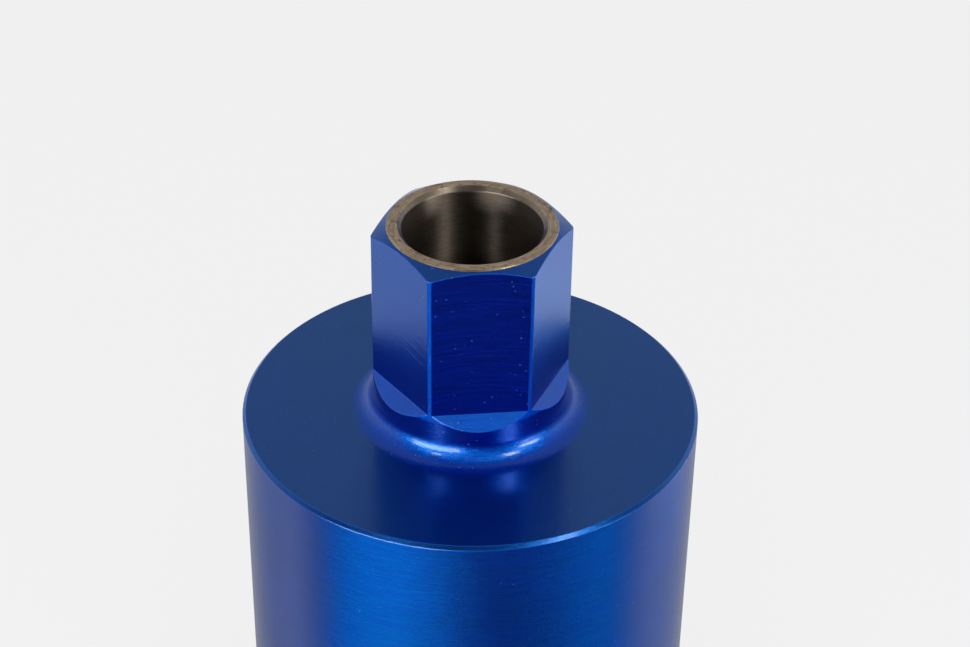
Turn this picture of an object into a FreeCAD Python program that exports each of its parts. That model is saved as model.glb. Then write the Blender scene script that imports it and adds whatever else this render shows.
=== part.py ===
import FreeCAD, Part
import Sketcher
import os

# Wet diamond core bit, in millimetres, +Z up, with its cutting edge at Z = 0 and the drive hub on top.
# Three kinds of piece make it: the hub with its end plate, turned and milled from one bar, the barrel
# tube that the end plate closes, and the ring of cutting segments under the tube's lower edge.

SIZES = {
    # Barrel tube. The usable length is the deepest core that it takes, from cutting edge to end plate.
    "usable_length": 450.0,
    "barrel_diameter": 109.8,
    "barrel_wall": 2.25,
    # End plate: a flange as wide as the tube, above a spigot that centres it in the tube.
    "flange_thickness": 6.0,
    "rim_chamfer": 0.8,
    "spigot_depth": 6.0,
    "spigot_clearance": 0.1,
    "spigot_chamfer": 1.0,
    # Hub outside: a round bar with spanner flats, a turned foot and a bevelled top.
    "hub_height": 50.6,
    "foot_radius": 4.8,
    "flat_count": 6,
    "hub_wall": 4.1,
    "corner_trim": 0.28,
    "collar_height": 8.4,
    "runout_angle": 48.0,
    "bevel_angle": 30.0,
    "face_inset": 0.58,
    "face_break": 0.25,
    # Hub inside: a plain pilot bore, then the bore of the drive thread, down through the plate.
    "thread_diameter": 31.75,
    "pilot_clearance": 0.525,
    "pilot_depth": 22.0,
    "mouth_chamfer": 1.05,
    "outlet_chamfer": 1.0,
    # Cutting segments, wider than the tube wall on both sides so that the barrel runs free.
    "segment_count": 10,
    "segment_length": 24.0,
    "segment_height": 10.0,
    "outside_overhang": 1.1,
    "inside_overhang": 0.65,
    # How far the milling cut reaches past the bar.
    "cutter_overrun": 2.0,
}

# Radii and heights that several features share. Heights of the hub count from its spigot's lower face.
BARREL_RADIUS = "(Sizes.barrel_diameter / 2)"
BARREL_BORE_RADIUS = f"({BARREL_RADIUS} - Sizes.barrel_wall)"
SPIGOT_RADIUS = f"({BARREL_BORE_RADIUS} - Sizes.spigot_clearance)"
THREAD_RADIUS = "(Sizes.thread_diameter / 2)"
PILOT_RADIUS = f"({THREAD_RADIUS} + Sizes.pilot_clearance)"
FLAT_RADIUS = f"({PILOT_RADIUS} + Sizes.hub_wall)"
BAR_RADIUS = f"({FLAT_RADIUS} / cos(180 / Sizes.flat_count) - Sizes.corner_trim)"
FACE_RADIUS = f"({FLAT_RADIUS} - Sizes.face_inset)"
BEVEL_DROP = f"(({BAR_RADIUS} - {FACE_RADIUS}) * tan(Sizes.bevel_angle))"
PLATE_TOP = "(Sizes.spigot_depth + Sizes.flange_thickness)"
HUB_TOP = f"({PLATE_TOP} + Sizes.hub_height)"
PILOT_END = f"({HUB_TOP} - Sizes.pilot_depth)"
COLLAR_TOP = f"({PLATE_TOP} + Sizes.collar_height)"


def make_sheet(doc):
    """Write the driving sizes into a sheet, one named cell each."""
    sheet = doc.addObject("Spreadsheet::Sheet", "Sizes")
    for row, (alias, number) in enumerate(SIZES.items(), start=1):
        sheet.set(f"A{row}", alias)
        sheet.set(f"B{row}", str(number))
        sheet.setAlias(f"B{row}", alias)
    doc.recompute()
    return sheet


def origin_part(body, role):
    """Return one of the body's own origin planes or axes."""
    for part in body.Origin.OriginFeatures:
        if part.Role == role:
            return part
    raise ValueError(f"{body.Name} has no {role}")


def make_body(doc, name):
    body = doc.addObject("PartDesign::Body", name)
    body.Label = name
    return body


def make_sketch(body, plane, name):
    sketch = body.newObject("Sketcher::SketchObject", name)
    sketch.AttachmentSupport = (origin_part(body, plane), [""])
    sketch.MapMode = "FlatFace"
    return sketch


def bind(sketch, constraint, expression):
    """Add a dimension to a sketch and let an expression drive it."""
    index = sketch.addConstraint(constraint)
    sketch.setExpression(f"Constraints[{index}]", expression)


def draw_outline(sheet, sketch, corners):
    """Draw a closed outline of straight lines, with both coordinates of each corner driven."""
    points = [
        FreeCAD.Vector(float(sheet.evalExpression(across)), float(sheet.evalExpression(up)), 0)
        for across, up in corners
    ]
    lines = [
        sketch.addGeometry(Part.LineSegment(start, end))
        for start, end in zip(points, points[1:] + points[:1])
    ]
    for line, following in zip(lines, lines[1:] + lines[:1]):
        sketch.addConstraint(Sketcher.Constraint("Coincident", line, 2, following, 1))
    for line, point, (across, up) in zip(lines, points, corners):
        bind(sketch, Sketcher.Constraint("DistanceX", line, 1, point.x), across)
        if up == "0":
            sketch.addConstraint(Sketcher.Constraint("PointOnObject", line, 1, -1))
        else:
            bind(sketch, Sketcher.Constraint("DistanceY", line, 1, point.y), up)


def draw_circle(sheet, sketch, radius):
    """Draw a circle round the sketch's origin."""
    start_radius = float(sheet.evalExpression(radius))
    circle = sketch.addGeometry(Part.Circle(FreeCAD.Vector(), FreeCAD.Vector(0, 0, 1), start_radius))
    sketch.addConstraint(Sketcher.Constraint("Coincident", circle, 3, -1, 1))
    bind(sketch, Sketcher.Constraint("Radius", circle, start_radius), radius)


def ring_edge(shape, radius, height):
    """Name the full circular edge of this radius at this height."""
    for number, edge in enumerate(shape.Edges, start=1):
        if not isinstance(edge.Curve, Part.Circle) or not edge.isClosed():
            continue
        same_radius = abs(edge.Curve.Radius - radius) < 0.001
        same_height = abs(edge.Curve.Center.z - height) < 0.001
        if same_radius and same_height:
            return f"Edge{number}"
    raise ValueError(f"no edge of radius {radius} at height {height}")


def make_hub(doc, sheet):
    """Hub and end plate in one piece: turned inside and out, then milled with spanner flats."""
    body = make_body(doc, "hub")
    body.setExpression("Placement.Base.z", "Sizes.usable_length")

    # Half section of the turned blank, from the outlet of the bore round the outside to its mouth.
    section = make_sketch(body, "XZ_Plane", "turned_section")
    draw_outline(sheet, section, [
        (f"{THREAD_RADIUS} + Sizes.outlet_chamfer", "0"),
        (f"{SPIGOT_RADIUS} - Sizes.spigot_chamfer", "0"),
        (SPIGOT_RADIUS, "Sizes.spigot_chamfer"),
        (SPIGOT_RADIUS, "Sizes.spigot_depth"),
        (BARREL_RADIUS, "Sizes.spigot_depth"),
        (BARREL_RADIUS, f"{PLATE_TOP} - Sizes.rim_chamfer"),
        (f"{BARREL_RADIUS} - Sizes.rim_chamfer", PLATE_TOP),
        (BAR_RADIUS, PLATE_TOP),
        (BAR_RADIUS, f"{HUB_TOP} - Sizes.face_break - {BEVEL_DROP}"),
        (FACE_RADIUS, f"{HUB_TOP} - Sizes.face_break"),
        (f"{FACE_RADIUS} - Sizes.face_break", HUB_TOP),
        (f"{PILOT_RADIUS} + Sizes.mouth_chamfer", HUB_TOP),
        (PILOT_RADIUS, f"{HUB_TOP} - Sizes.mouth_chamfer"),
        (PILOT_RADIUS, PILOT_END),
        (THREAD_RADIUS, f"{PILOT_END} - Sizes.pilot_clearance"),
        (THREAD_RADIUS, "Sizes.outlet_chamfer"),
    ])
    blank = body.newObject("PartDesign::Revolution", "turned_blank")
    blank.Profile = section
    blank.ReferenceAxis = (section, ["V_Axis"])
    blank.Angle = 360
    doc.recompute()

    # Concave foot where the bar meets the plate.
    foot_edge = ring_edge(
        blank.Shape,
        float(sheet.evalExpression(BAR_RADIUS)),
        float(sheet.evalExpression(PLATE_TOP)),
    )
    foot = body.newObject("PartDesign::Fillet", "foot")
    foot.Base = (blank, [foot_edge])
    foot.setExpression("Radius", "Sizes.foot_radius")

    # One spanner flat. At its lower end the cut slopes outwards and leaves the collar round.
    cut_section = make_sketch(body, "YZ_Plane", "flat_section")
    cut_radius = f"({BAR_RADIUS} + Sizes.cutter_overrun)"
    cut_top = f"({HUB_TOP} + Sizes.cutter_overrun)"
    draw_outline(sheet, cut_section, [
        (FLAT_RADIUS, f"{COLLAR_TOP} + ({BAR_RADIUS} - {FLAT_RADIUS}) * tan(Sizes.runout_angle)"),
        (cut_radius, f"{COLLAR_TOP} - Sizes.cutter_overrun * tan(Sizes.runout_angle)"),
        (cut_radius, cut_top),
        (FLAT_RADIUS, cut_top),
    ])
    flat = body.newObject("PartDesign::Pocket", "flat")
    flat.Profile = cut_section
    flat.SideType = "Symmetric"
    flat.setExpression("Length", f"2 * {cut_radius}")
    flats = body.newObject("PartDesign::PolarPattern", "flats")
    flats.Originals = [flat]
    flats.Axis = (origin_part(body, "Z_Axis"), [""])
    flats.Angle = 360
    flats.setExpression("Occurrences", "Sizes.flat_count")
    body.Tip = flats
    return body


def make_barrel(doc, sheet):
    """Thin steel tube between the end plate's flange and the segments."""
    body = make_body(doc, "barrel")
    body.setExpression("Placement.Base.z", "Sizes.segment_height")
    section = make_sketch(body, "XY_Plane", "barrel_section")
    draw_circle(sheet, section, BARREL_RADIUS)
    draw_circle(sheet, section, BARREL_BORE_RADIUS)
    tube = body.newObject("PartDesign::Pad", "barrel_tube")
    tube.Profile = section
    tube.setExpression("Length", "Sizes.usable_length + Sizes.spigot_depth - Sizes.segment_height")
    return body


def make_segment(doc, sheet, number):
    """One pressed cutting segment, curved like the tube wall, with parallel ends."""
    body = make_body(doc, f"segment_{number:02d}")
    body.Placement.Rotation = FreeCAD.Rotation(FreeCAD.Vector(0, 0, 1), 0)
    body.setExpression("Placement.Rotation.Angle", f"{number - 1} * 360 / Sizes.segment_count")

    outline = make_sketch(body, "XY_Plane", "segment_outline")
    arcs = []
    for radius in (
        f"{BARREL_RADIUS} + Sizes.outside_overhang",
        f"{BARREL_BORE_RADIUS} - Sizes.inside_overhang",
    ):
        start_radius = float(sheet.evalExpression(radius))
        half_angle = float(sheet.evalExpression(f"Sizes.segment_length / 2 / ({radius})"))
        circle = Part.Circle(FreeCAD.Vector(), FreeCAD.Vector(0, 0, 1), start_radius)
        arc = outline.addGeometry(Part.ArcOfCircle(circle, -half_angle, half_angle))
        outline.addConstraint(Sketcher.Constraint("Coincident", arc, 3, -1, 1))
        bind(outline, Sketcher.Constraint("Radius", arc, start_radius), radius)
        arcs.append(arc)
    outer, inner = arcs
    for end in (1, 2):
        side = outline.addGeometry(Part.LineSegment(
            outline.getPoint(outer, end),
            outline.getPoint(inner, end),
        ))
        outline.addConstraint(Sketcher.Constraint("Coincident", side, 1, outer, end))
        outline.addConstraint(Sketcher.Constraint("Coincident", side, 2, inner, end))
        outline.addConstraint(Sketcher.Constraint("Horizontal", side))
    outline.addConstraint(Sketcher.Constraint("Symmetric", outer, 1, outer, 2, -1))
    start_length = float(sheet.evalExpression("Sizes.segment_length"))
    bind(outline, Sketcher.Constraint("DistanceY", outer, 1, outer, 2, start_length), "Sizes.segment_length")

    pad = body.newObject("PartDesign::Pad", "segment_block")
    pad.Profile = outline
    pad.setExpression("Length", "Sizes.segment_height")
    return body


def check_document(doc, bodies):
    """Stop if any feature failed or any piece has no sound solid."""
    for item in doc.Objects:
        if "Invalid" in item.State or "Error" in item.State:
            raise RuntimeError(f"{item.Label} failed: {item.State}")
    for body in bodies:
        if body.Shape.isNull() or not body.Shape.isValid() or len(body.Shape.Solids) != 1:
            raise RuntimeError(f"{body.Label} is not one sound solid")


def export_parts(bodies):
    os.makedirs("parts", exist_ok=True)
    for body in bodies:
        body.Shape.exportStep(f"parts/{body.Label}.step")
        box = body.Shape.BoundBox
        print(
            f"{body.Label}: {body.Shape.Volume:.1f} mm3,"
            f" X {box.XMin:.2f}..{box.XMax:.2f}, Y {box.YMin:.2f}..{box.YMax:.2f},"
            f" Z {box.ZMin:.2f}..{box.ZMax:.2f}"
        )


def main():
    doc = FreeCAD.newDocument("core_bit")
    sheet = make_sheet(doc)
    bodies = [make_hub(doc, sheet), make_barrel(doc, sheet)]
    for number in range(1, int(sheet.get("segment_count")) + 1):
        bodies.append(make_segment(doc, sheet, number))
    doc.recompute()
    check_document(doc, bodies)
    export_parts(bodies)


main()
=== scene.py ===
from math import cos, pi, radians, sin, tan

import bmesh
import bpy
from mathutils import Matrix, Vector


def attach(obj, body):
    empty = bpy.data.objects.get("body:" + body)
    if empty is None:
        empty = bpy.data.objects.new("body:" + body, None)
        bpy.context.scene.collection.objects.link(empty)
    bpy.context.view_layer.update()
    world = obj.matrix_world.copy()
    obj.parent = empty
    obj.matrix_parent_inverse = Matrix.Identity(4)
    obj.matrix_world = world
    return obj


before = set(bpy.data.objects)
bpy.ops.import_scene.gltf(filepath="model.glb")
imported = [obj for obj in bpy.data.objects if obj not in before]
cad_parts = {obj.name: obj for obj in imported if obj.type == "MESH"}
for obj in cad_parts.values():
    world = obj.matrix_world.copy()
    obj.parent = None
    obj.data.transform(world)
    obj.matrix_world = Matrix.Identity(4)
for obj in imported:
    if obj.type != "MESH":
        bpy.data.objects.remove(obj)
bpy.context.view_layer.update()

scene = bpy.context.scene
scene.view_settings.view_transform = "Standard"

# Sizes taken over from the CAD source, in metres
TOP_Z = 0.5126
RUNOUT_TOP_Z = 0.47355
SPIGOT_TOP_Z = 0.456
RING_INNER_R = 0.01745
FLAT_APOTHEM = 0.0205
EDGE_BREAK = 0.00025

# Drive thread, in metres
THREAD_WALL_R = 0.015875
THREAD_CREST_R = 0.01395
THREAD_PITCH = 0.0254 / 7
THREAD_LOW_Z = 0.4530
THREAD_HIGH_Z = 0.4883
THREAD_OVERLAP = 0.00012

# Soft borders of zones on the surface, each from outside the zone to inside it, in metres
DRUM_RADIUS = (0.0542, 0.0545)
DRUM_HEIGHT = (0.46135, 0.46115)
HUB_RADIUS = (0.0292, 0.0272)
FOOT_HEIGHT = (0.4790, 0.4770)
LAND_HEIGHT = (0.4715, 0.4725)
BEVEL_HEIGHT = (0.5090, 0.5100)
MOUTH_RADIUS = (RING_INNER_R - 0.0001, RING_INNER_R - 0.0002)
BORE_DEPTH = (TOP_Z - 0.0010, TOP_Z - 0.0016)
BARE_RADIUS = (RING_INNER_R + 0.00004, RING_INNER_R + 0.00001)
BARE_TOP = (TOP_Z - EDGE_BREAK - 0.00003, TOP_Z - EDGE_BREAK + 0.00001)
BARE_UNDERSIDE = (SPIGOT_TOP_Z, SPIGOT_TOP_Z - 0.00005)
BARREL_INSIDE = (0.0536, 0.0534)
HEAT_HEIGHT = (0.0078, 0.0096)

# The same by how level the surface lies: 0 is upright and 1 is level
SLOPED = (0.05, 0.35)
NOT_LEVEL = (0.98, 0.70)
UPRIGHT_LIMIT = 0.15

# Studio, in metres: lamps and cloths stand round the hub
STUDIO_CENTRE = Vector((0, 0, 0.47))
CLOTH_FOOT_Z = 0.002
FLAG_REACH = 3.2
GAUZE_R = 0.12
GAUZE_TOP_Z = 0.430
GAUZE_HEIGHT = (0.425, 0.395)
GAUZE_DENSITY = 0.55
FLOOR_HALF_WIDTH = 30
FLOOR_FADE = (0.2, 0.9)

# Photo's viewpoint
CAMERA_AZIMUTH = radians(6.185)
CAMERA_ELEVATION = radians(31.538)
CAMERA_DISTANCE = 0.51335
CAMERA_LENS = 83.11
CAMERA_PITCH = radians(-2.548)
CAMERA_YAW = radians(0.349)
CAMERA_ROLL = radians(0.628)

# Colours, linear
PAPER = (0.940, 0.940, 0.940, 1)
DRUM_BLUE = (0.0004, 0.0060, 0.180, 1)
# Painted shade: the end plate gets a much darker copy of the one blue lacquer.
PLATE_BLUE_PAINTED_SHADE = (0.0003, 0.0030, 0.050, 1)
# Painted shade: the top cone of the hub gets a darker copy of the one blue lacquer.
BEVEL_BLUE_PAINTED_SHADE = (0.0003, 0.0030, 0.075, 1)
FLAT_BLUE = (0.0004, 0.0004, 0.160, 1)
# Painted highlight: the fillet and low facets of the hub get a brighter copy of the one blue lacquer.
FOOT_BLUE_PAINTED_HIGHLIGHT = (0.0004, 0.0035, 0.250, 1)
# Painted highlight: the hex's corner lands get a brighter copy of the one blue lacquer.
LAND_BLUE_PAINTED_HIGHLIGHT = (0.0008, 0.0250, 0.405, 1)
# Partly thinner lacquer on the edges and partly painted highlight: a much brighter blue along every
# edge.
EDGE_BLUE_THIN_AND_HIGHLIGHT = (0.0008, 0.0850, 0.800, 1)
BLUE_SHINE = (0.0, 0.21, 0.76, 1)
DUST = (0.42, 0.56, 0.85, 1)
STEEL = (0.38, 0.265, 0.145, 1)
STEEL_WORN = (0.66, 0.52, 0.34, 1)
STEEL_STAINED = (0.17, 0.112, 0.066, 1)
STEEL_OILED = (0.20, 0.190, 0.178, 1)
BOND_DARK = (0.165, 0.150, 0.135, 1)
BOND_PALE = (0.30, 0.27, 0.23, 1)
BOND_PORE = (0.045, 0.042, 0.040, 1)
GRIT_DARK = (0.42, 0.40, 0.24, 1)
GRIT_PALE = (0.62, 0.62, 0.50, 1)
HEAT_PURPLE = (0.16, 0.10, 0.19, 1)
HEAT_STRAW = (0.30, 0.20, 0.10, 1)
CLOTH_BLACK = (0.01, 0.01, 0.01, 1)
WHITE = (1, 1, 1, 1)


def photo_direction(azimuth, elevation):
    """Direction in the row frame, azimuth from the photo's viewpoint and growing to its right."""
    toward = Vector((-sin(CAMERA_AZIMUTH), -cos(CAMERA_AZIMUTH), 0))
    right = Vector((cos(CAMERA_AZIMUTH), -sin(CAMERA_AZIMUTH), 0))
    flat = toward * cos(azimuth) + right * sin(azimuth)
    return flat * cos(elevation) + Vector((0, 0, sin(elevation)))


def make_camera():
    """Camera at the photo's place, with its small pitch, yaw and roll."""
    back = photo_direction(0, CAMERA_ELEVATION)
    right = photo_direction(radians(90), 0)
    ahead = -back
    up = right.cross(ahead)
    aim = (ahead + right * tan(CAMERA_YAW) + up * tan(CAMERA_PITCH)).normalized()
    side = (right - aim * right.dot(aim)).normalized()
    above = side.cross(aim)
    axis_x = side * cos(CAMERA_ROLL) + above * sin(CAMERA_ROLL)
    axis_y = above * cos(CAMERA_ROLL) - side * sin(CAMERA_ROLL)
    camera = bpy.data.objects.new("camera", bpy.data.cameras.new("camera"))
    camera.data.sensor_width = 36
    camera.data.lens = CAMERA_LENS
    camera.data.clip_end = 100
    camera.matrix_world = Matrix((axis_x, axis_y, -aim)).transposed().to_4x4()
    camera.matrix_world.translation = Vector((0, 0, TOP_Z)) + back * CAMERA_DISTANCE
    scene.collection.objects.link(camera)
    scene.camera = camera


def make_softbox(name, azimuth, elevation, width, height, radiance, distance=2.2, mirrored=True):
    """Soft lamp that faces the hub.

    A mirrored one shows in gloss only. Any other lights the surfaces and doesn't show in gloss.
    """
    direction = photo_direction(radians(azimuth), radians(elevation))
    data = bpy.data.lights.new(name, "AREA")
    data.shape = "RECTANGLE"
    data.size = width
    data.size_y = height
    data.energy = radiance * pi * width * height
    lamp = bpy.data.objects.new(name, data)
    lamp.location = STUDIO_CENTRE + direction * distance
    lamp.rotation_euler = direction.to_track_quat("Z", "Y").to_euler()
    lamp.visible_camera = False
    lamp.visible_glossy = mirrored
    lamp.visible_diffuse = not mirrored
    scene.collection.objects.link(lamp)


class Nodes:
    """Short calls for the nodes of one tree."""

    def __init__(self, tree):
        self.tree = tree
        self.tree.nodes.clear()

    def add(self, kind, inputs=(), **settings):
        node = self.tree.nodes.new("ShaderNode" + kind)
        for name, value in settings.items():
            setattr(node, name, value)
        for key, value in dict(inputs).items():
            if isinstance(value, bpy.types.NodeSocket):
                self.tree.links.new(value, node.inputs[key])
            else:
                node.inputs[key].default_value = value
        return node

    def math(self, operation, *values):
        inputs = dict(enumerate(values))
        return self.add("Math", inputs, operation=operation).outputs[0]

    def chain(self, operation, first, *others):
        """Math operation over all the values, one after the other."""
        for value in others:
            first = self.math(operation, first, value)
        return first

    def product(self, *values):
        return self.chain("MULTIPLY", *values)

    def opposite(self, value):
        """1 where value is 0, and 0 where it is 1."""
        return self.math("SUBTRACT", 1.0, value)

    def vector(self, operation, *values):
        inputs = dict(enumerate(values))
        return self.add("VectorMath", inputs, operation=operation).outputs[0]

    def measure(self, operation, *values):
        """Vector operation that gives a plain number."""
        inputs = dict(enumerate(values))
        return self.add("VectorMath", inputs, operation=operation).outputs["Value"]

    def split(self, vector):
        return self.add("SeparateXYZ", {0: vector}).outputs

    def combine(self, x, y, z):
        return self.add("CombineXYZ", {0: x, 1: y, 2: z}).outputs[0]

    def step(self, value, low, high, start=0.0, end=1.0):
        """Smooth step from start to end while value goes from low to high."""
        inputs = {0: value, 1: low, 2: high, 3: start, 4: end}
        return self.add("MapRange", inputs, interpolation_type="SMOOTHSTEP").outputs[0]

    def mix(self, factor, first, second, blend="MIX"):
        inputs = {0: factor, 6: first, 7: second}
        return self.add("Mix", inputs, data_type="RGBA", blend_type=blend).outputs[2]

    def mix_value(self, factor, first, second):
        inputs = {0: factor, 2: first, 3: second}
        return self.add("Mix", inputs, data_type="FLOAT").outputs[0]

    def mix_vector(self, factor, first, second):
        inputs = {0: factor, 4: first, 5: second}
        return self.add("Mix", inputs, data_type="VECTOR").outputs[1]

    def noise(self, vector, scale, detail=2.0, roughness=0.5):
        inputs = {"Vector": vector, "Scale": scale, "Detail": detail, "Roughness": roughness}
        return self.add("TexNoise", inputs).outputs["Fac"]

    def cells(self, vector, scale):
        return self.add("TexVoronoi", {"Vector": vector, "Scale": scale}).outputs

    def bump(self, height, strength, distance, normal=None):
        inputs = {"Height": height, "Strength": strength, "Distance": distance}
        if normal is not None:
            inputs["Normal"] = normal
        return self.add("Bump", inputs).outputs[0]


class Shader(Nodes):
    """Nodes of one new material."""

    def __init__(self, name):
        self.material = bpy.data.materials.new(name)
        self.material.use_nodes = True
        super().__init__(self.material.node_tree)

    def finish(self, inputs):
        surface = self.add("BsdfPrincipled", inputs).outputs[0]
        self.add("OutputMaterial", {"Surface": surface})
        return self.material


class Turned(Shader):
    """Shader with the coordinates of a turned part: place, height, radius and the marks' own space."""

    def __init__(self, name):
        super().__init__(name)
        self.place = self.add("TexCoord").outputs["Object"]
        self.x, self.y, self.z = self.split(self.place)
        self.radius = self.measure("LENGTH", self.combine(self.x, self.y, 0.0))
        self.along = self.math("SUBTRACT", self.z, self.radius)
        self.normal = self.add("NewGeometry").outputs["Normal"]

    def marks_space(self, round_scale, cross_scale):
        """Space that is drawn out along the turning marks."""
        x = self.math("MULTIPLY", self.x, round_scale)
        y = self.math("MULTIPLY", self.y, round_scale)
        return self.combine(x, y, self.math("MULTIPLY", self.along, cross_scale))

    def levelness(self):
        """1 on level faces and 0 on upright ones."""
        return self.math("ABSOLUTE", self.split(self.normal)[2])


class Lacquered(Turned):
    """Turned part under lacquer, with its marks, its grain and its zones, 1 inside and 0 outside."""

    def __init__(self, name, bare_zone):
        super().__init__(name)
        self.bare = bare_zone(self)
        self.milled, milling = spanner_flats(self)
        turning_space = self.marks_space(round_scale=110.0, cross_scale=2300.0)
        self.turning = self.noise(turning_space, scale=1.0, detail=4.0, roughness=0.65)
        self.marks = self.mix_value(self.milled, self.turning, milling)
        self.grain = self.noise(self.place, scale=4200.0, detail=1.0)
        level = self.levelness()
        self.sloped = self.step(level, *SLOPED)
        self.drum = self.product(self.step(self.radius, *DRUM_RADIUS), self.step(self.z, *DRUM_HEIGHT))
        self.hub = self.step(self.radius, *HUB_RADIUS)
        hub_slopes = self.product(self.hub, self.sloped)
        low_slopes = self.product(self.step(level, *NOT_LEVEL), self.step(self.z, *FOOT_HEIGHT))
        self.foot = self.product(low_slopes, hub_slopes)
        self.bevel = self.product(hub_slopes, self.step(self.z, *BEVEL_HEIGHT))
        unmilled = self.opposite(self.math("MAXIMUM", self.milled, self.sloped))
        self.lands = self.product(self.hub, unmilled, self.step(self.z, *LAND_HEIGHT))
        self.coarse = self.math("MAXIMUM", hub_slopes, self.lands)

    def zoned(self, upright, sloped, coarse, drum):
        """Value that differs between upright and sloped faces, the hub's coarse lacquer and the drum."""
        faces = self.mix_value(self.sloped, upright, sloped)
        return self.mix_value(self.drum, self.mix_value(self.coarse, faces, coarse), drum)


def lacquer(name, bare_zone):
    """Translucent blue lacquer over turned steel, with bare machined steel where bare_zone says."""
    s = Lacquered(name, bare_zone)
    rounded = rounded_normal(s)
    edge = s.step(s.measure("DOT_PRODUCT", rounded, s.normal), 0.995, 0.93)
    # Painted highlight along the edges, partly thinner lacquer there: they get a much brighter blue.
    blue = s.mix(s.math("MULTIPLY", edge, 0.80), lacquer_blue(s), EDGE_BLUE_THIN_AND_HIGHLIGHT)
    deep = s.step(s.z, *BORE_DEPTH)
    rough = s.zoned(upright=0.22, sloped=0.27, coarse=0.36, drum=0.40)
    rough = s.math("ADD", rough, s.math("MULTIPLY", s.marks, s.mix_value(s.drum, 0.06, 0.16)))
    rough = s.mix_value(s.bare, rough, s.mix_value(deep, 0.36, 0.44))
    streaked = s.math("MULTIPLY", s.bare, s.mix_value(deep, 0.45, 0.92))
    streaked = s.math("MAXIMUM", s.math("MULTIPLY", s.drum, 0.85), streaked)
    worn_through = s.product(s.drum, 0.3, s.step(s.turning, 0.35, 0.65))
    return s.finish({
        "Base Color": s.mix(s.bare, dusted(s, blue), machined_steel(s, deep)),
        "Metallic": s.math("MAXIMUM", s.bare, worn_through),
        "IOR": 4.0,
        "Specular Tint": BLUE_SHINE,
        "Roughness": rough,
        "Normal": flaked_relief(s, rounded),
        "Tangent": s.add("Tangent", direction_type="RADIAL", axis="Z").outputs[0],
        "Anisotropic": streaked,
        "Anisotropic Rotation": 0.25,
        "Coat Weight": s.math("MULTIPLY", s.opposite(s.bare), s.mix_value(s.drum, 0.7, 1.0)),
        "Coat Roughness": 0.18,
        "Coat Normal": coat_relief(s, rounded),
    })


def rounded_normal(s):
    """Normal that is rounded over the edges, but not where the barrel meets the flange."""
    from_joint = s.math("ABSOLUTE", s.math("SUBTRACT", s.z, SPIGOT_TOP_Z))
    rounded = s.add("Bevel", {"Radius": 0.0003}, samples=4).outputs[0]
    return s.mix_vector(s.step(from_joint, 0.0004, 0.0006), s.normal, rounded)


def lacquer_blue(s):
    """Each zone's blue, darker where the lacquer is thick and brighter where it is thin. The zone blues
    are lit and shaded copies of one lacquer.
    """
    bands = s.noise(s.marks_space(round_scale=9.0, cross_scale=420.0), scale=1.0)
    cloud = s.noise(s.place, scale=55.0, detail=3.0)
    shares = ((s.marks, 0.42), (bands, 0.12), (cloud, 0.16), (s.grain, 0.30))
    thin = s.chain("ADD", *[s.math("MULTIPLY", part, share) for part, share in shares])
    # Painted shade on the end plate and the top cone, painted highlight on the foot and the corner
    # lands.
    even = s.mix(s.drum, s.mix(s.hub, PLATE_BLUE_PAINTED_SHADE, FLAT_BLUE), DRUM_BLUE)
    even = s.mix(s.bevel, even, BEVEL_BLUE_PAINTED_SHADE)
    even = s.mix(s.lands, s.mix(s.foot, even, FOOT_BLUE_PAINTED_HIGHLIGHT), LAND_BLUE_PAINTED_HIGHLIGHT)
    shade = s.step(thin, 0.36, 0.64, start=0.62, end=1.38)
    return s.mix(1.0, even, s.combine(shade, shade, shade), "MULTIPLY")


def dusted(s, colour):
    """Colour with specks of dust, more of them on the hub."""
    specks = s.cells(s.place, scale=700.0)
    chance, size, strength = s.split(specks["Color"])
    dot = s.math("LESS_THAN", specks["Distance"], s.step(size, 0.0, 1.0, start=0.035, end=0.095))
    speck = s.math("MULTIPLY", s.math("GREATER_THAN", chance, s.mix_value(s.hub, 0.93, 0.30)), dot)
    cover = s.math("MULTIPLY", speck, s.step(strength, 0.0, 1.0, start=0.12, end=0.50))
    return s.mix(cover, colour, DUST)


def machined_steel(s, deep):
    """Bare steel of the faced ring, the chamfers and the edge, and where it is deep the oiled bore."""
    rings = s.noise(s.marks_space(round_scale=260.0, cross_scale=4200.0), 1.0, 3.0, 0.7)
    stain = s.noise(s.place, 620.0, 4.0, 0.65)
    steel = s.mix(s.step(rings, 0.35, 0.65), STEEL, STEEL_WORN)
    steel = s.mix(s.step(stain, 0.54, 0.68, end=0.8), steel, STEEL_STAINED)
    steel = s.mix(s.step(s.grain, 0.55, 0.75, end=0.5), steel, STEEL_WORN)
    mouth = s.step(s.radius, *MOUTH_RADIUS)
    steel = s.mix(s.math("MULTIPLY", mouth, 0.70), steel, STEEL_OILED)
    oiled = s.mix(s.step(rings, 0.3, 0.7), STEEL_OILED, STEEL_STAINED)
    return s.mix(deep, steel, oiled)


def flaked_relief(s, rounded):
    """Normal of the metallic layer: tilted by flakes, with the machining marks in it."""
    flakes = s.cells(s.place, scale=5600.0)
    size = s.zoned(upright=0.05, sloped=0.16, coarse=0.38, drum=0.14)
    size = s.math("MULTIPLY", size, s.opposite(s.bare))
    tilt = s.vector("SUBTRACT", flakes["Color"], (0.5, 0.5, 0.5))
    tilt = s.add("VectorMath", {0: tilt, "Scale": size}, operation="SCALE").outputs[0]
    flaked = s.vector("NORMALIZE", s.vector("ADD", rounded, tilt))
    depth = s.mix_value(s.drum, s.mix_value(s.milled, 0.00001, 0.00012), 0.0002)
    return s.bump(s.marks, strength=0.6, distance=depth, normal=flaked)


def coat_relief(s, rounded):
    """Normal of the clear coat: it swells softly and follows the marks, most on the milled flats."""
    cuts = s.math("MULTIPLY", s.marks, s.mix_value(s.milled, 0.6, 14.0))
    swell = s.math("ADD", s.noise(s.place, scale=420.0), cuts)
    return s.bump(swell, strength=0.12, distance=0.00003, normal=rounded)


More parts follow.
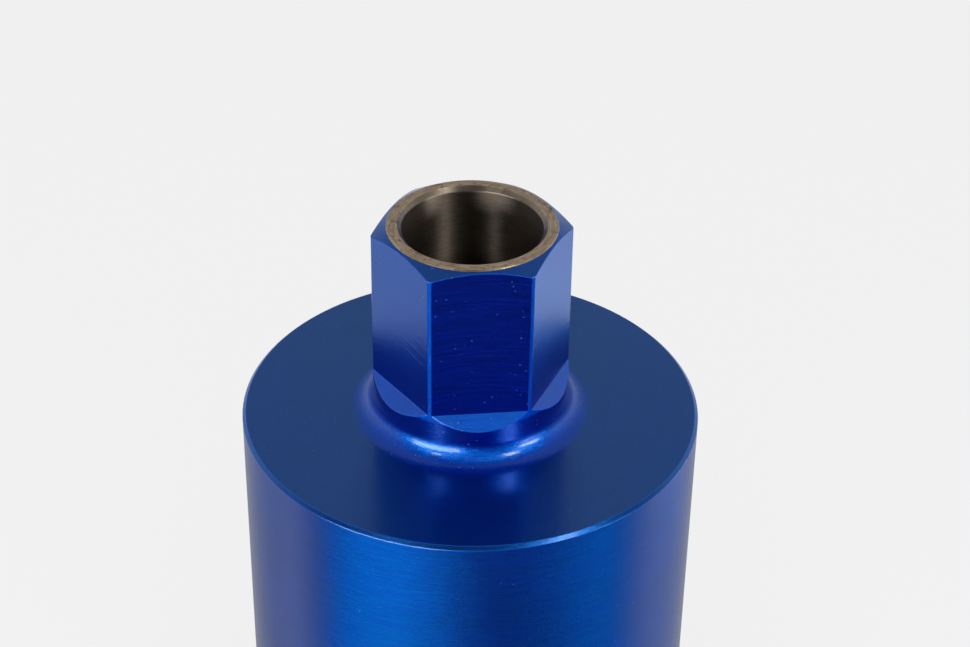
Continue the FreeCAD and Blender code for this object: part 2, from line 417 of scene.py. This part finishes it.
def spanner_flats(s):
    """1 on the six milled flats and 0 elsewhere, and the arcs that the end mill left on them."""
    sector_angle = radians(60)
    mill_radius = 0.030
    angle = s.math("ADD", s.math("ARCTAN2", s.y, s.x), radians(90))
    sector = s.math("ROUND", s.math("DIVIDE", angle, sector_angle))
    off_centre = s.math("SUBTRACT", angle, s.math("MULTIPLY", sector, sector_angle))
    apothem = s.math("MULTIPLY", s.radius, s.math("COSINE", off_centre))
    near = s.math("COMPARE", apothem, FLAT_APOTHEM, 0.00005)
    above = s.math("GREATER_THAN", s.z, RUNOUT_TOP_Z)
    flat = s.product(near, above, s.math("LESS_THAN", s.levelness(), UPRIGHT_LIMIT))
    across = s.math("MULTIPLY", s.radius, s.math("SINE", off_centre))
    height = s.math("SUBTRACT", s.z, RUNOUT_TOP_Z - mill_radius)
    arcs = s.math("MULTIPLY", s.measure("LENGTH", s.combine(across, height, 0.0)), 1500.0)
    space = s.combine(arcs, s.math("MULTIPLY", across, 40.0), s.math("MULTIPLY", sector, 7.0))
    return flat, s.noise(space, scale=1.0, detail=3.0, roughness=0.6)


def hub_bare(s):
    """Faced ring, edge break, mouth chamfer, bores and everything under the end plate."""
    wobble = s.product(s.math("SUBTRACT", s.noise(s.place, scale=900.0), 0.5), 0.00008)
    inner = s.step(s.math("ADD", s.radius, wobble), *BARE_RADIUS)
    top = s.step(s.math("ADD", s.z, wobble), *BARE_TOP)
    under = s.step(s.z, *BARE_UNDERSIDE)
    return s.chain("MAXIMUM", inner, top, under)


def barrel_bare(s):
    """Inside of the barrel."""
    return s.step(s.radius, *BARREL_INSIDE)


def thread_steel(name):
    """Cut thread: bright flanks under a film of oil."""
    s = Turned(name)
    marks = s.noise(s.marks_space(round_scale=60.0, cross_scale=5200.0), 1.0, 3.0, 0.6)
    film = s.noise(s.place, scale=260.0, detail=3.0)
    steel = s.mix(s.step(marks, 0.3, 0.7), STEEL, STEEL_WORN)
    colour = s.mix(s.step(film, 0.35, 0.6, start=0.35, end=0.95), steel, STEEL_OILED)
    return s.finish({
        "Base Color": colour,
        "Metallic": 1.0,
        "Roughness": s.step(film, 0.3, 0.7, start=0.24, end=0.42),
        "Normal": s.bump(marks, strength=0.4, distance=0.00002),
    })


def sintered_bond(name):
    """Sintered metal bond with diamond grit, and a heat tint from the weld at the top."""
    s = Turned(name)
    grit = s.cells(s.place, scale=900.0)
    pick = s.split(grit["Color"])
    chosen = s.math("GREATER_THAN", pick[0], 0.72)
    crystal = s.math("MULTIPLY", s.step(grit["Distance"], 0.36, 0.26), chosen)
    pores = s.noise(s.place, scale=3200.0, detail=3.0, roughness=0.65)
    cloud = s.noise(s.place, scale=260.0, detail=3.0)
    bond = s.mix(s.step(pores, 0.50, 0.36), s.mix(cloud, BOND_DARK, BOND_PALE), BOND_PORE)
    colour = s.mix(crystal, bond, s.mix(pick[1], GRIT_DARK, GRIT_PALE))
    heat = s.math("MULTIPLY", s.step(s.z, *HEAT_HEIGHT), 0.7)
    colour = s.mix(heat, colour, s.mix(cloud, HEAT_PURPLE, HEAT_STRAW))
    height = s.math("ADD", s.math("MULTIPLY", crystal, 0.8), pores)
    return s.finish({
        "Base Color": colour,
        "Metallic": s.mix_value(crystal, 0.85, 0.15),
        "Roughness": s.mix_value(crystal, 0.58, 0.28),
        "Normal": s.bump(height, strength=0.7, distance=0.00012),
    })


def paper(name):
    """Pale sweep: light and shadow near the foot, and mostly its own colour further out."""
    s = Shader(name)
    path = s.add("LightPath").outputs
    seen = s.chain("MAXIMUM", *[path[f"Is {kind} Ray"] for kind in ("Camera", "Glossy", "Transmission")])
    away = s.measure("LENGTH", s.add("TexCoord").outputs["Object"])
    share = s.math("MULTIPLY", seen, s.step(away, *FLOOR_FADE, start=0.75, end=0.95))
    glow = s.step(away, *FLOOR_FADE, start=0.955, end=0.89)
    lit = s.add("BsdfDiffuse", {"Color": PAPER}).outputs[0]
    own = s.add("Emission", {"Strength": glow}).outputs[0]
    surface = s.add("MixShader", {0: share, 1: lit, 2: own}).outputs[0]
    s.add("OutputMaterial", {"Surface": surface})
    return s.material


def make_floor():
    """Large plain floor under the cutting edge."""
    mesh = bpy.data.meshes.new("floor")
    grid = bmesh.new()
    bmesh.ops.create_grid(grid, x_segments=1, y_segments=1, size=FLOOR_HALF_WIDTH)
    grid.to_mesh(mesh)
    grid.free()
    mesh.materials.append(paper("paper"))
    floor = bpy.data.objects.new("floor", mesh)
    scene.collection.objects.link(floor)


def hang_cloth(name, mesh, clear):
    """Turns a bmesh into black cloth that only reflections see, and thins it out where clear(s) says."""
    data = bpy.data.meshes.new(name)
    mesh.to_mesh(data)
    mesh.free()
    s = Shader(name + "_cloth")
    cloth = s.add("BsdfDiffuse", {"Color": CLOTH_BLACK}).outputs[0]
    air = s.add("BsdfTransparent").outputs[0]
    surface = s.add("MixShader", {0: clear(s), 1: cloth, 2: air}).outputs[0]
    s.add("OutputMaterial", {"Surface": surface})
    data.materials.append(s.material)
    flag = bpy.data.objects.new(name, data)
    flag.visible_camera = False
    flag.visible_shadow = False
    flag.visible_diffuse = False
    scene.collection.objects.link(flag)


def make_front_flag():
    """Black cloth round the front of the studio."""
    aim = photo_direction(radians(5), radians(-5))
    side = photo_direction(radians(95), 0)
    above = side.cross(-aim)
    drop = STUDIO_CENTRE.z - CLOTH_FOOT_Z
    mesh = bmesh.new()
    rings = []
    for tilt in range(0, 106, 4):
        ring = []
        for turn in range(0, 360, 6):
            out = side * cos(radians(turn)) + above * sin(radians(turn))
            ray = aim * cos(radians(tilt)) + out * sin(radians(tilt))
            reach = min(FLAG_REACH, drop / max(-ray.z, 0.001))
            ring.append(mesh.verts.new(STUDIO_CENTRE + ray * reach))
        rings.append(ring)
    for inner, outer in zip(rings, rings[1:]):
        for i in range(len(inner)):
            j = (i + 1) % len(inner)
            mesh.faces.new((inner[i], inner[j], outer[j], outer[i]))

    def clear(s):
        place = s.add("TexCoord").outputs["Object"]
        ray = s.vector("NORMALIZE", s.vector("SUBTRACT", place, STUDIO_CENTRE))
        return s.step(s.measure("DOT_PRODUCT", ray, aim), cos(radians(70)), cos(radians(102)))

    hang_cloth("front_flag", mesh, clear)


def make_back_gauze():
    """Sheer cloth close behind the barrel, up to under the end plate, that calms the barrel's edges."""
    mesh = bmesh.new()
    columns = []
    for azimuth in range(60, 301, 6):
        foot = photo_direction(radians(azimuth), 0) * GAUZE_R
        columns.append([mesh.verts.new(foot + Vector((0, 0, z))) for z in (CLOTH_FOOT_Z, GAUZE_TOP_Z)])
    for left, right in zip(columns, columns[1:]):
        mesh.faces.new((left[0], right[0], right[1], left[1]))

    def clear(s):
        x, y, z = s.split(s.add("TexCoord").outputs["Object"])
        level = s.vector("NORMALIZE", s.combine(x, y, 0.0))
        facing = s.measure("DOT_PRODUCT", level, photo_direction(0, 0))
        behind = s.step(facing, cos(radians(62)), cos(radians(100)))
        return s.opposite(s.product(behind, s.step(z, *GAUZE_HEIGHT), GAUZE_DENSITY))

    hang_cloth("back_gauze", mesh, clear)


def make_world():
    """Studio walls, pale at the horizon and calmer above, and one even level for diffuse light."""
    world = bpy.data.worlds.new("studio")
    world.use_nodes = True
    s = Nodes(world.node_tree)
    height = s.split(s.add("TexCoord").outputs["Generated"])[2]
    walls = s.step(height, 0.10, 0.65, start=0.86, end=0.39)
    strength = s.mix_value(s.add("LightPath").outputs["Is Diffuse Ray"], walls, 0.35)
    surface = s.add("Background", {"Color": WHITE, "Strength": strength}).outputs[0]
    s.add("OutputWorld", {"Surface": surface})
    scene.world = world


def make_thread():
    """Drive thread: one ridge that winds up the bore and fades out at both ends."""
    steps_per_turn = 72
    end_rise = 0.04
    rise_per_turn = 2.5
    height = THREAD_HIGH_Z - THREAD_LOW_Z
    count = int(height / THREAD_PITCH * steps_per_turn)
    base = THREAD_PITCH * 7 / 16
    crest = THREAD_PITCH / 8
    wall = THREAD_WALL_R + THREAD_OVERLAP
    mesh = bmesh.new()
    rings = []
    for step in range(count + 1):
        angle = 2 * pi * step / steps_per_turn
        z = THREAD_LOW_Z + height * step / count
        turns_from_end = min(step, count - step) / steps_per_turn
        rise = min(1.0, end_rise + turns_from_end * rise_per_turn)
        top = THREAD_WALL_R + (THREAD_CREST_R - THREAD_WALL_R) * rise
        half = base + (crest - base) * rise
        profile = (
            (wall, -base), (THREAD_WALL_R, -base), (top, -half),
            (top, half), (THREAD_WALL_R, base), (wall, base),
        )
        ring = []
        for radius, offset in profile:
            ring.append(mesh.verts.new((radius * cos(angle), radius * sin(angle), z + offset)))
        rings.append(ring)
    for low, high in zip(rings, rings[1:]):
        for i in range(len(low)):
            j = (i + 1) % len(low)
            mesh.faces.new((low[i], low[j], high[j], high[i]))
    mesh.faces.new(rings[0])
    mesh.faces.new(rings[-1])
    bmesh.ops.recalc_face_normals(mesh, faces=mesh.faces)
    data = bpy.data.meshes.new("drive_thread")
    mesh.to_mesh(data)
    mesh.free()
    data.materials.append(thread_steel("thread_steel"))
    thread = bpy.data.objects.new("drive_thread", data)
    scene.collection.objects.link(thread)
    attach(thread, "root")


def dress(node, material):
    """Puts a material in every slot of a CAD node."""
    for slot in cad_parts[node].material_slots:
        slot.material = material


make_camera()
make_world()
make_floor()
make_front_flag()
make_back_gauze()
make_softbox("key", azimuth=0, elevation=42, width=1.2, height=1.2, radiance=9.6, mirrored=False)
make_softbox("left_front", azimuth=-36, elevation=3, width=2.1, height=0.80, radiance=11.5)
make_softbox("left_high", azimuth=-37, elevation=33, width=0.26, height=0.26, radiance=28.0)
make_softbox("right_front", azimuth=64, elevation=9, width=0.80, height=0.40, radiance=19.0)
make_softbox("right_high", azimuth=47, elevation=36, width=0.44, height=0.40, radiance=25.0)
make_softbox(
    "right_low", azimuth=108, elevation=-31, width=0.45, height=0.40, radiance=2.5, distance=0.86)
dress("hub", lacquer("hub_lacquer", hub_bare))
dress("barrel", lacquer("barrel_lacquer", barrel_bare))
bond = sintered_bond("segment_bond_grit")
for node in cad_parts:
    if node.startswith("segment"):
        dress(node, bond)
make_thread()
